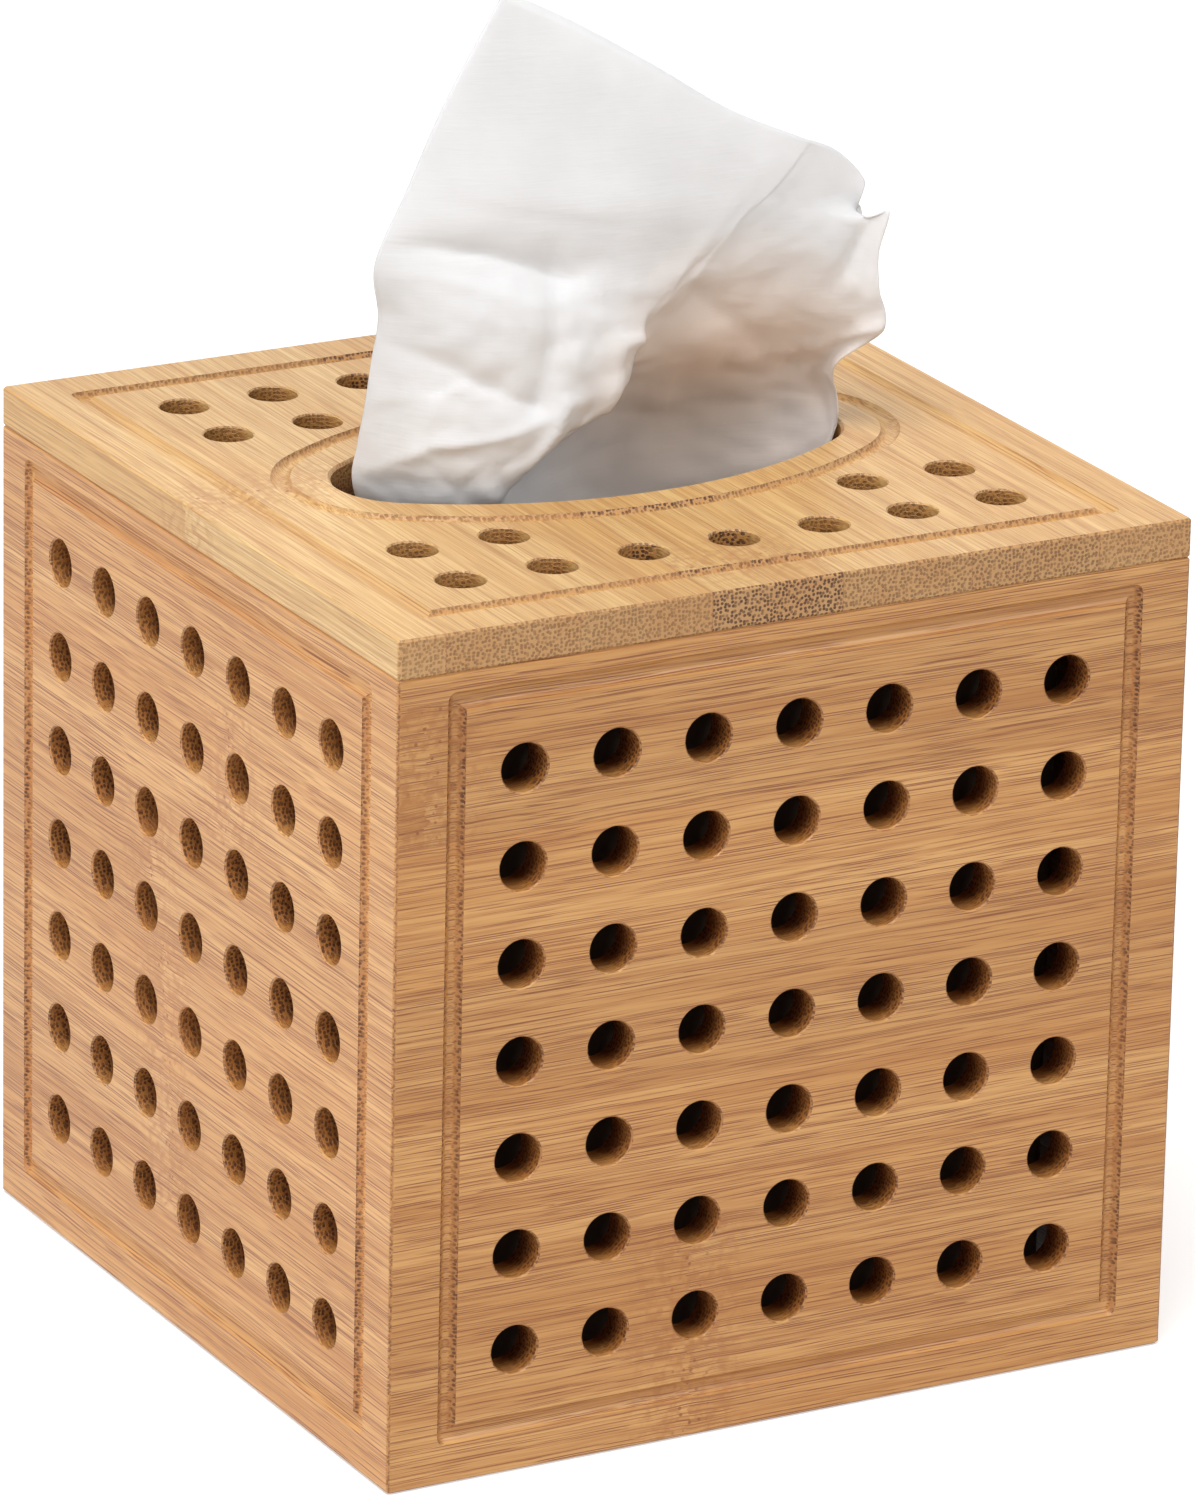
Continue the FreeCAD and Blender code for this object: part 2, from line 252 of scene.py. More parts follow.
class BambooSettings(bpy.types.PropertyGroup):
    """Colours and sizes of the bamboo finish."""

    pale: bpy.props.FloatVectorProperty(
        name="Pale wood", description="Lightest wood between the fibres", subtype="COLOR", size=3,
        min=0.0, max=1.0, default=(0.76, 0.45, 0.195))
    honey: bpy.props.FloatVectorProperty(
        name="Honey wood", description="Deeper bands of the wood", subtype="COLOR", size=3,
        min=0.0, max=1.0, default=(0.66, 0.345, 0.125))
    streak: bpy.props.FloatVectorProperty(
        name="Streaks", description="Soft streaks along the grain", subtype="COLOR", size=3,
        min=0.0, max=1.0, default=(0.46, 0.19, 0.06))
    fibre: bpy.props.FloatVectorProperty(
        name="Fibres", description="Thin dark fibres along the grain", subtype="COLOR", size=3,
        min=0.0, max=1.0, default=(0.30, 0.10, 0.03))
    end_pale: bpy.props.FloatVectorProperty(
        name="End wood", description="Wood between the pores on the end grain", subtype="COLOR", size=3,
        min=0.0, max=1.0, default=(0.50, 0.245, 0.095))
    pore: bpy.props.FloatVectorProperty(
        name="Pores", description="Pores on the end grain", subtype="COLOR", size=3,
        min=0.0, max=1.0, default=(0.1, 0.034, 0.012))
    strip_width: bpy.props.FloatProperty(
        name="Strip width", description="Width of one glued strip", unit="LENGTH", min=0.005, default=0.023)
    fibre_spacing: bpy.props.FloatProperty(
        name="Fibre spacing", description="Distance between fibres", unit="LENGTH", min=0.0002, default=0.00038)
    fibre_length: bpy.props.FloatProperty(
        name="Fibre length", description="Length of a fibre along the grain", unit="LENGTH", min=0.002, default=0.014)
    pore_spacing: bpy.props.FloatProperty(
        name="Pore spacing", description="Distance between pores on the end grain", unit="LENGTH",
        min=0.0002, default=0.00066)
    roughness: bpy.props.FloatProperty(
        name="Roughness", description="Roughness of the satin finish", subtype="FACTOR", min=0.0, max=1.0, default=0.37)


class CartonSettings(bpy.types.PropertyGroup):
    """Finish of the card carton."""

    # The card's dark colour is partly the card's own and partly painted shade for the dark inside of the cover, seen
    # through the holes
    card: bpy.props.FloatVectorProperty(
        name="Card", description="Colour of the carton's card", subtype="COLOR", size=3,
        min=0.0, max=1.0, default=(0.11, 0.078, 0.056))
    core: bpy.props.FloatVectorProperty(
        name="Core", description="Colour of the card's core where the edges are rubbed", subtype="COLOR", size=3,
        min=0.0, max=1.0, default=(0.34, 0.26, 0.19))
    roughness: bpy.props.FloatProperty(
        name="Roughness", description="Roughness of the card", subtype="FACTOR", min=0.0, max=1.0, default=0.78)


class PileSettings(bpy.types.PropertyGroup):
    """The folded tissues in the carton."""

    layers: bpy.props.IntProperty(
        name="Layers", description="Number of folded layers in the pile", min=2, max=200, default=62)
    side_play: bpy.props.FloatProperty(
        name="Side play", description="How far a layer may lie out of line", unit="LENGTH", min=0.0, default=0.0005)
    edge_inset: bpy.props.FloatProperty(
        name="Edge inset", description="How far the layers stay inside the pile's block", unit="LENGTH",
        min=0.0, default=0.0007)
    seed: bpy.props.IntProperty(name="Seed", description="Seed of the side play", default=11)


class TissueSettings(bpy.types.PropertyGroup):
    """The tissue that stands up through the mouth."""

    paper: bpy.props.FloatVectorProperty(
        name="Paper", description="Colour of the tissue paper", subtype="COLOR", size=3,
        min=0.0, max=1.0, default=(0.68, 0.675, 0.677))
    # Painted warm light, bounced from the wood onto the paper deep in the fold on the right
    painted_bounce_paper: bpy.props.FloatVectorProperty(
        name="Paper in the fold", description="Warmer paper deep in the fold on the right", subtype="COLOR", size=3,
        min=0.0, max=1.0, default=(0.88, 0.64, 0.48))
    cut_width: bpy.props.FloatProperty(
        name="Cut width", description="Width that the tissue was cut to", unit="LENGTH", min=0.1, default=0.2)
    standing_length: bpy.props.FloatProperty(
        name="Standing length", description="How much of the tissue's length stands clear of the pile",
        unit="LENGTH", min=0.05, default=0.11)
    thickness: bpy.props.FloatProperty(
        name="Thickness", description="Thickness of the two-ply paper", unit="LENGTH", min=0.00005, default=0.00022)
    crease: bpy.props.FloatProperty(
        name="Creases", description="Depth of the creases against the drawn ones", subtype="FACTOR",
        min=0.0, max=3.0, default=1.7)
    crumple: bpy.props.FloatProperty(
        name="Crumple", description="Depth of the small dents", unit="LENGTH", min=0.0, default=0.0007)
    roughness: bpy.props.FloatProperty(
        name="Roughness", description="Roughness of the paper", subtype="FACTOR", min=0.0, max=1.0, default=0.9)


class StageSettings(bpy.types.PropertyGroup):
    """Floor, lamps and camera."""

    floor: bpy.props.FloatVectorProperty(
        name="Floor", description="Colour of the floor", subtype="COLOR", size=3, min=0.0, max=1.0,
        default=(0.72, 0.72, 0.72))
    floor_glow: bpy.props.FloatProperty(
        name="Floor white", description="What the floor adds towards white in the picture", min=0.0, max=1.0,
        default=0.42)
    sky: bpy.props.FloatProperty(
        name="Sky", description="Strength of the even light all round", min=0.0, max=2.0, default=0.36)
    key_power: bpy.props.FloatProperty(
        name="Key lamp", description="Power of the large lamp, up on the left", unit="POWER", min=0.0, default=12.5)
    lamp_size: bpy.props.FloatProperty(
        name="Lamp size", description="Width of the other lamps", unit="LENGTH", min=0.05, default=0.8)
    key_place: bpy.props.FloatVectorProperty(
        name="Key place", description="Where the large lamp stands", subtype="XYZ", size=3, unit="LENGTH",
        default=(-0.36, -0.34, 1.22))
    side_power: bpy.props.FloatProperty(
        name="Side lamp", description="Power of the low lamp on the left", unit="POWER", min=0.0, default=5.4)
    side_place: bpy.props.FloatVectorProperty(
        name="Side place", description="Where the low lamp stands", subtype="XYZ", size=3, unit="LENGTH",
        default=(-1.2, -0.35, 0.35))
    front_power: bpy.props.FloatProperty(
        name="Front lamp", description="Power of the weak lamp in front", unit="POWER", min=0.0, default=5.0)
    front_place: bpy.props.FloatVectorProperty(
        name="Front place", description="Where the weak lamp stands", subtype="XYZ", size=3, unit="LENGTH",
        default=(0.55, -1.1, 0.75))
    front_size: bpy.props.FloatProperty(
        name="Front lamp size", description="Width of the weak lamp in front, small enough to glint in the grooves",
        unit="LENGTH", min=0.05, default=0.34)
    back_power: bpy.props.FloatProperty(
        name="Back lamp", description="Power of the weak lamp behind", unit="POWER", min=0.0, default=5.0)
    back_place: bpy.props.FloatVectorProperty(
        name="Back place", description="Where the lamp behind stands", subtype="XYZ", size=3, unit="LENGTH",
        default=(0.5, 1.15, 0.85))
    lens: bpy.props.FloatProperty(
        name="Lens", description="Focal length on a 36 mm sensor", min=10.0, default=249.36)
    camera_place: bpy.props.FloatVectorProperty(
        name="Camera place", description="Where the camera stands", subtype="XYZ", size=3, unit="LENGTH",
        default=(-0.75441, -1.38194, 0.64952))
    camera_turn: bpy.props.FloatVectorProperty(
        name="Camera turn", description="How the camera is turned", subtype="EULER", size=3, unit="ROTATION",
        default=(math.radians(70.4174), math.radians(-1.1206), math.radians(-28.3224)))


class CoverSettings(bpy.types.PropertyGroup):
    """All settings of the tissue box cover."""

    bamboo: bpy.props.PointerProperty(type=BambooSettings)
    carton: bpy.props.PointerProperty(type=CartonSettings)
    pile: bpy.props.PointerProperty(type=PileSettings)
    tissue: bpy.props.PointerProperty(type=TissueSettings)
    stage: bpy.props.PointerProperty(type=StageSettings)


class Wiring:
    """Short calls for building a node tree."""

    def __init__(self, tree):
        self.tree = tree

    def node(self, kind, **settings):
        """A new node with its settings."""
        made = self.tree.nodes.new(kind)
        for name, value in settings.items():
            setattr(made, name, value)
        return made

    def feed(self, socket, value):
        """Links a socket to another, or sets its own value."""
        if isinstance(value, bpy.types.NodeSocket):
            self.tree.links.new(value, socket)
        elif isinstance(value, (tuple, list)) and len(value) == 3 and len(socket.default_value) == 4:
            socket.default_value = (*value, 1.0)
        else:
            socket.default_value = value

    def math(self, operation, *values):
        """The result of one sum."""
        made = self.node("ShaderNodeMath", operation=operation)
        for socket, value in zip(made.inputs, values):
            self.feed(socket, value)
        return made.outputs[0]

    def ramp(self, value, low, high, to_low=0.0, to_high=1.0):
        """A smooth step from low to high."""
        made = self.node("ShaderNodeMapRange", interpolation_type="SMOOTHSTEP")
        for socket, number in zip(made.inputs, (value, low, high, to_low, to_high)):
            self.feed(socket, number)
        return made.outputs[0]

    def mix(self, share, first, second, blend="MIX"):
        """Two colours, with a share of the second."""
        made = self.node("ShaderNodeMix", data_type="RGBA", blend_type=blend)
        self.feed(made.inputs[0], share)
        self.feed(made.inputs[6], first)
        self.feed(made.inputs[7], second)
        return made.outputs[2]

    def join(self, x, y, z):
        """One vector from three values."""
        made = self.node("ShaderNodeCombineXYZ")
        for socket, value in zip(made.inputs, (x, y, z)):
            self.feed(socket, value)
        return made.outputs[0]

    def scaled(self, values, factors):
        """One vector from three values, each times its factor."""
        return self.join(*(self.math("MULTIPLY", value, factor) for value, factor in zip(values, factors)))

    def split(self, vector):
        """The three values of a vector by axis."""
        made = self.node("ShaderNodeSeparateXYZ")
        self.feed(made.inputs[0], vector)
        return dict(zip("XYZ", made.outputs))

    def noise(self, vector, scale=1.0, detail=2.0, roughness=0.5):
        """Cloudy noise."""
        made = self.node("ShaderNodeTexNoise")
        self.feed(made.inputs["Vector"], vector)
        self.feed(made.inputs["Scale"], scale)
        self.feed(made.inputs["Detail"], detail)
        self.feed(made.inputs["Roughness"], roughness)
        return made.outputs

    def cells(self, vector, scale=1.0, randomness=1.0, dimensions="3D"):
        """Scattered cells."""
        made = self.node("ShaderNodeTexVoronoi", voronoi_dimensions=dimensions)
        self.feed(made.inputs["Vector"], vector)
        self.feed(made.inputs["Scale"], scale)
        self.feed(made.inputs["Randomness"], randomness)
        return made.outputs

    def bump(self, shader, height, strength, distance):
        """Gives a shader the relief of a height."""
        made = self.node("ShaderNodeBump")
        self.feed(made.inputs["Strength"], strength)
        self.feed(made.inputs["Distance"], distance)
        self.feed(made.inputs["Height"], height)
        self.feed(shader.inputs["Normal"], made.outputs[0])

    def seen(self):
        """One where the picture or a reflection looks at the surface, and nought where it only lights others."""
        rays = self.node("ShaderNodeLightPath").outputs
        mirrored = self.math("ADD", rays["Is Glossy Ray"], rays["Is Transmission Ray"])
        return self.math("ADD", rays["Is Camera Ray"], mirrored)

    def given(self):
        """The inputs of a node group by name."""
        return {socket.name: socket for socket in self.node("NodeGroupInput").outputs if socket.name}


def new_material(name):
    """An empty node material with its surface shader, and the wiring of its tree."""
    material = bpy.data.materials.new(name)
    material.use_nodes = True
    material.node_tree.nodes.clear()
    wires = Wiring(material.node_tree)
    shader = wires.node("ShaderNodeBsdfPrincipled")
    output = wires.node("ShaderNodeOutputMaterial")
    wires.feed(output.inputs["Surface"], shader.outputs[0])
    return material, wires, shader


def dress(name, material):
    """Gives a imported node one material."""
    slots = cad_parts[name].data.materials
    slots.clear()
    slots.append(material)


def bamboo_group(settings):
    """The fibres of laminated bamboo in three dimensions: streaks along the grain and pores across it."""
    tree = bpy.data.node_groups.new("bamboo_fibres", "ShaderNodeTree")
    for name in ("Along", "Across", "Deep", "End", "Strip", "Pores", "Knuckle", "Lines", "Cut", "Bore shade", "Seed"):
        tree.interface.new_socket(name, in_out="INPUT", socket_type="NodeSocketFloat")
    tree.interface.new_socket("Colour", in_out="OUTPUT", socket_type="NodeSocketColor")
    for name in ("Roughness", "Height"):
        tree.interface.new_socket(name, in_out="OUTPUT", socket_type="NodeSocketFloat")
    w = Wiring(tree)
    given = w.given()
    along, across, deep = given["Along"], given["Across"], given["Deep"]
    spot = w.join(along, across, deep)

    # Each strip has its own place in the pattern
    chance = w.node("ShaderNodeTexWhiteNoise", noise_dimensions="1D")
    w.feed(chance.inputs["W"], w.math("MULTIPLY_ADD", given["Strip"], 1.37, given["Seed"]))
    shift = w.split(chance.outputs["Color"])

    # A knuckle is a band across the strip where the fibres bend and break off
    ragged = w.noise(w.join(w.math("MULTIPLY", across, 420.0), deep, given["Seed"]), detail=2.0)["Fac"]
    ragged = w.math("MULTIPLY_ADD", ragged, 0.006, -0.003)
    gap = w.math("ADD", w.math("SUBTRACT", along, given["Knuckle"]), ragged)
    reach = w.math("ABSOLUTE", gap)
    band = w.ramp(reach, 0.0055, 0.0008)
    near = w.ramp(reach, 0.016, 0.002)
    side = w.math("SIGN", gap)

    # Fibres wander a little, and more beside a knuckle
    wander = w.split(w.noise(w.scaled((along, across, deep), (18.0, 70.0, 70.0)), detail=2.0)["Color"])
    curl = w.noise(w.scaled((along, across, deep), (150.0, 190.0, 1.0)), detail=1.0)["Fac"]
    bend = w.math("MULTIPLY_ADD", curl, 0.0008, -0.0004)
    drift = w.math("MULTIPLY_ADD", wander["X"], 0.0014, -0.0007)
    across = w.math("ADD", across, w.math("MULTIPLY_ADD", bend, near, drift))
    deep = w.math("ADD", deep, w.math("MULTIPLY_ADD", wander["Y"], 0.0012, w.math("MULTIPLY", shift["Y"], 0.5)))
    along = w.math("ADD", along, w.math("MULTIPLY_ADD", side, 1.7, w.math("MULTIPLY", shift["X"], 9.0)))

    def stretched(lengthwise, crosswise):
        """Places for a pattern with that many waves per metre along and across the grain."""
        return w.scaled((along, across, deep), (lengthwise, crosswise, crosswise))

    def section(spacing):
        """Places across the grain, one cell per spacing."""
        return w.join(w.math("DIVIDE", across, spacing), w.math("DIVIDE", deep, spacing), 0.0)

    broad = w.noise(stretched(7.0, 110.0), detail=2.0)["Fac"]
    streaks = w.noise(stretched(14.0, 800.0), detail=3.0, roughness=0.6)["Fac"]
    hairs = w.noise(stretched(60.0, 3000.0), detail=1.0)["Fac"]
    fibres = w.cells(section(settings.fibre_spacing), randomness=0.95, dimensions="2D")
    breaks = w.noise(stretched(1.0 / settings.fibre_length, 1500.0), detail=1.0)["Fac"]
    lines = w.math("MULTIPLY", w.ramp(fibres["Distance"], 0.36, 0.16), w.ramp(breaks, 0.42, 0.54))
    threads = w.cells(section(0.72 * settings.fibre_spacing), randomness=0.95, dimensions="2D")
    thin = w.math("MULTIPLY", w.ramp(threads["Distance"], 0.4, 0.18), w.ramp(breaks, 0.56, 0.44))
    lines = w.math("MAXIMUM", lines, w.math("MULTIPLY", thin, 0.75))
    tubes = w.cells(section(settings.pore_spacing), randomness=0.75, dimensions="2D")
    pores = w.math("MULTIPLY", w.ramp(tubes["Distance"], 0.46, 0.31),
                   w.ramp(w.split(tubes["Color"])["X"], 0.0, 0.6, 0.62, 1.0))

    wood = w.mix(w.ramp(broad, 0.3, 0.7), tuple(settings.pale), tuple(settings.honey))
    wood = w.mix(w.math("MULTIPLY", w.ramp(streaks, 0.42, 0.7), 0.55), wood, tuple(settings.streak))
    wood = w.mix(w.math("MULTIPLY", w.ramp(hairs, 0.45, 0.68), 0.45), wood, tuple(settings.streak))
    wood = w.mix(w.math("MULTIPLY", lines, given["Lines"]), wood, tuple(settings.fibre))

    end = w.mix(w.ramp(broad, 0.3, 0.7, 0.0, 0.5), tuple(settings.end_pale), tuple(settings.streak))
    end = w.mix(w.math("MULTIPLY", pores, given["Pores"]), end, tuple(settings.pore))
    share = w.ramp(given["End"], 0.12, 0.75)
    colour = w.mix(share, wood, end)

    # Wood cut across the grain is warmer below the face, and painted shade darkens it deep in a bore
    warmed = w.math("MULTIPLY", given["Cut"], w.ramp(given["End"], 0.05, 0.5, 0.15, 1.0))
    colour = w.mix(warmed, colour, CUT_TINT, blend="MULTIPLY")
    colour = w.mix(given["Bore shade"], colour, BORE_PAINTED_SHADE, blend="MULTIPLY")

    # Blotches and specks on a knuckle
    fleck = w.noise(spot, scale=620.0, detail=3.0)["Fac"]
    colour = w.mix(w.math("MULTIPLY", w.math("MULTIPLY", near, w.ramp(fleck, 0.42, 0.66)), 0.62),
                   colour, tuple(settings.streak))
    specks = w.cells(spot, scale=780.0)
    speck = w.math("MULTIPLY", w.ramp(specks["Distance"], 0.32, 0.18),
                   w.ramp(w.split(specks["Color"])["Y"], 0.55, 0.8))
    colour = w.mix(w.math("MULTIPLY", w.math("MULTIPLY", speck, band), 0.85), colour, tuple(settings.fibre))

    # Pores are rougher and lie deeper than the wood round them
    pitted = w.math("MULTIPLY", share, pores)
    rough = w.math("MULTIPLY_ADD", streaks, 0.16, settings.roughness - 0.08)
    rough = w.math("MULTIPLY_ADD", pitted, 0.25, rough)
    height = w.math("MULTIPLY", w.math("ADD", w.math("MULTIPLY", lines, 0.5), w.math("MULTIPLY", hairs, 0.5)), -1.0)
    height = w.math("MULTIPLY_ADD", pitted, -1.6, height)
    height = w.math("MULTIPLY_ADD", band, 0.5, height)
    out = w.node("NodeGroupOutput").inputs
    w.feed(out["Colour"], colour)
    w.feed(out["Roughness"], rough)
    w.feed(out["Height"], height)
    return tree


def bamboo_finish(board, group, settings):
    """The finish of one board: its strips, with the fibres of the shared group along its own grain."""
    material, w, shader = new_material("bamboo_" + board)
    axes = BOARD_AXES[board]
    strips = STRIPS[board]
    coords = w.node("ShaderNodeTexCoord")
    place = w.split(coords.outputs["Object"])
    facing = w.split(coords.outputs["Normal"])
    along, across, deep = (place[axis] for axis in axes)
    end = w.math("ABSOLUTE", facing[axes[0]])
    below = w.math("ABSOLUTE", w.math("SUBTRACT", deep, OUTER_FACES[board] * MM))
    middle = 0.0 if board == "top_panel" else HALF_SIDE
    from_middle = w.math("ABSOLUTE", w.math("SUBTRACT", across, middle))
    outward = w.math("MAXIMUM", w.math("ABSOLUTE", along), from_middle)
    inside = w.ramp(outward, HALF_SIDE - RIM[0], HALF_SIDE - RIM[1])
    cut = w.math("MULTIPLY", inside, w.ramp(below, *CUT_DEPTHS, 0.0, 0.75))
    # Painted shade that deepens further inside a bore
    bore_shade = w.math("MULTIPLY", inside, w.ramp(below, *BORE_SHADE_DEPTHS))

    # Each strip looks up its own tone, pores and knuckle
    start = STRIP_STARTS[board] * MM
    counted = w.math("DIVIDE", w.math("SUBTRACT", across, start), settings.strip_width)
    strip = w.math("FLOOR", counted)
    within = w.math("FRACT", counted)
    looked_at = w.math("DIVIDE", w.math("ADD", strip, 0.5), float(len(strips)))
    tone_ramp = w.node("ShaderNodeValToRGB")
    pore_ramp = w.node("ShaderNodeValToRGB")
    for ramp in (tone_ramp, pore_ramp):
        ramp.color_ramp.interpolation = "CONSTANT"
        while len(ramp.color_ramp.elements) < len(strips):
            ramp.color_ramp.elements.new(1.0)
        w.feed(ramp.inputs[0], looked_at)
    for index, (tone, pores, knuckle) in enumerate(strips):
        at = index / len(strips)
        # A board's tint carries painted light and shade: darker and oranger on the front board, paler on the top board
        tint_and_painted_light = [(1.0 + tone) ** power * part for power, part in zip(TONE_POWERS, BOARD_TINTS_AND_PAINTED_SHADE[board])]
        for ramp, kept in ((tone_ramp, tint_and_painted_light), (pore_ramp, (pores, 0.5 + knuckle * MM, 0.0))):
            stop = ramp.color_ramp.elements[index]
            stop.position = at
            stop.color = (*kept, 1.0)
    looked_up = w.split(pore_ramp.outputs["Color"])

    fibres = w.node("ShaderNodeGroup", node_tree=group)
    for name, value in (
        ("Along", along), ("Across", across), ("Deep", deep), ("End", end), ("Strip", strip),
        ("Pores", looked_up["X"]), ("Knuckle", w.math("SUBTRACT", looked_up["Y"], 0.5)),
        ("Lines", BOARD_LINES[board]), ("Cut", cut), ("Bore shade", bore_shade), ("Seed", BOARD_SEEDS[board]),
    ):
        w.feed(fibres.inputs[name], value)
    colour = w.mix(1.0, fibres.outputs["Colour"], tone_ramp.outputs["Color"], blend="MULTIPLY")

    # A thin glue line between strips
    edge = w.math("MINIMUM", within, w.math("SUBTRACT", 1.0, within))
    glue = w.ramp(edge, 0.009, 0.003)
    colour = w.mix(w.math("MULTIPLY", glue, 0.3), colour, tuple(settings.fibre))
    w.feed(shader.inputs["Base Color"], colour)
    w.feed(shader.inputs["Roughness"], fibres.outputs["Roughness"])
    shader.inputs["Specular IOR Level"].default_value = 0.45
    w.bump(shader, fibres.outputs["Height"], strength=0.5, distance=0.00012)
    return material


class COVER_OT_boards(bpy.types.Operator):
    """Finish the five bamboo boards"""

    bl_idname = "tissue_cover.boards"
    bl_label = "Boards"

    def execute(self, context):
        settings = context.scene.tissue_cover.bamboo
        group = bamboo_group(settings)
        for board in BOARD_AXES:
            dress(board, bamboo_finish(board, group, settings))
        return {"FINISHED"}


class COVER_OT_carton(bpy.types.Operator):
    """Finish the card carton"""

    bl_idname = "tissue_cover.carton"
    bl_label = "Carton"

    def execute(self, context):
        settings = context.scene.tissue_cover.carton
        material, w, shader = new_material("carton_card")
        place = w.node("ShaderNodeTexCoord").outputs["Object"]
        mottle = w.noise(place, scale=420.0, detail=4.0, roughness=0.65)["Fac"]
        flecks = w.noise(place, scale=1500.0, detail=2.0)["Fac"]
        # This dark card colour is partly painted shade
        card = tuple(settings.card)
        light = tuple(min(1.0, c * 1.12) for c in card)
        dark = tuple(c * 0.8 for c in card)
        colour = w.mix(w.ramp(mottle, 0.35, 0.65), card, light)
        colour = w.mix(w.math("MULTIPLY", w.ramp(flecks, 0.55, 0.75), 0.6), colour, dark)
        axes = w.split(place)
        fibre_place = w.scaled(axes.values(), (1300.0, 1300.0, 170.0))
        fibres = w.noise(fibre_place, detail=3.0, roughness=0.6)["Fac"]
        colour = w.mix(w.math("MULTIPLY", w.ramp(fibres, 0.52, 0.72), 0.5), colour, light)

        # The card's pale core shows where the edges are rubbed
        low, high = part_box("tissue_carton")
        inward = [
            w.math("SUBTRACT", (high[i] - low[i]) / 2,
                   w.math("ABSOLUTE", w.math("SUBTRACT", axes[axis], (high[i] + low[i]) / 2)))
            for i, axis in enumerate("XYZ")]
        least = w.math("MINIMUM", inward[0], inward[1])
        most = w.math("MAXIMUM", inward[0], inward[1])
        to_edge = w.math("MAXIMUM", least, w.math("MINIMUM", most, inward[2]))
        rubbed = w.math("MULTIPLY_ADD", w.noise(place, scale=260.0, detail=3.0)["Fac"], 0.004, -0.0017)
        worn = w.ramp(w.math("ADD", to_edge, rubbed), 0.0014, 0.0002, 0.0, 0.6)
        colour = w.mix(worn, colour, tuple(settings.core))
        w.feed(shader.inputs["Base Color"], colour)
        w.feed(shader.inputs["Roughness"], w.math("MULTIPLY_ADD", mottle, 0.15, settings.roughness - 0.07))
        w.bump(shader, flecks, strength=0.25, distance=0.0001)
        dress("tissue_carton", material)
        return {"FINISHED"}


def paper_finish(name, colour, roughness, painted_bounce_tint=None):
    """Soft white paper with the fine cross lines of creping, with painted warm bounce light where the mesh is marked if
    that colour is given.
    """
    material, w, shader = new_material(name)
    place = w.node("ShaderNodeTexCoord").outputs["Object"]
    crepe = w.scaled(w.split(place).values(), (160.0, 160.0, 1900.0))
    lines = w.noise(crepe, detail=3.0, roughness=0.6)["Fac"]
    cloud = w.noise(place, scale=90.0, detail=3.0)["Fac"]
    shade = tuple(c * 0.955 for c in colour)
    tone = w.mix(w.ramp(cloud, 0.35, 0.7), tuple(colour), shade)
    if painted_bounce_tint is not None:
        # Painted warm light bounced from the wood, deep in the fold
        painted_bounce = w.node("ShaderNodeAttribute", attribute_name="fold_painted_bounce").outputs["Fac"]
        tone = w.mix(painted_bounce, tone, tuple(painted_bounce_tint))
    w.feed(shader.inputs["Base Color"], tone)
    w.feed(shader.inputs["Roughness"], w.math("MULTIPLY_ADD", lines, 0.1, roughness - 0.05))
    shader.inputs["Specular IOR Level"].default_value = 0.2
    shader.inputs["Subsurface Weight"].default_value = 0.35
    shader.inputs["Subsurface Radius"].default_value = (1.0, 1.0, 1.0)
    shader.inputs["Subsurface Scale"].default_value = 0.0012
    w.bump(shader, lines, strength=0.34, distance=0.00012)
    return material


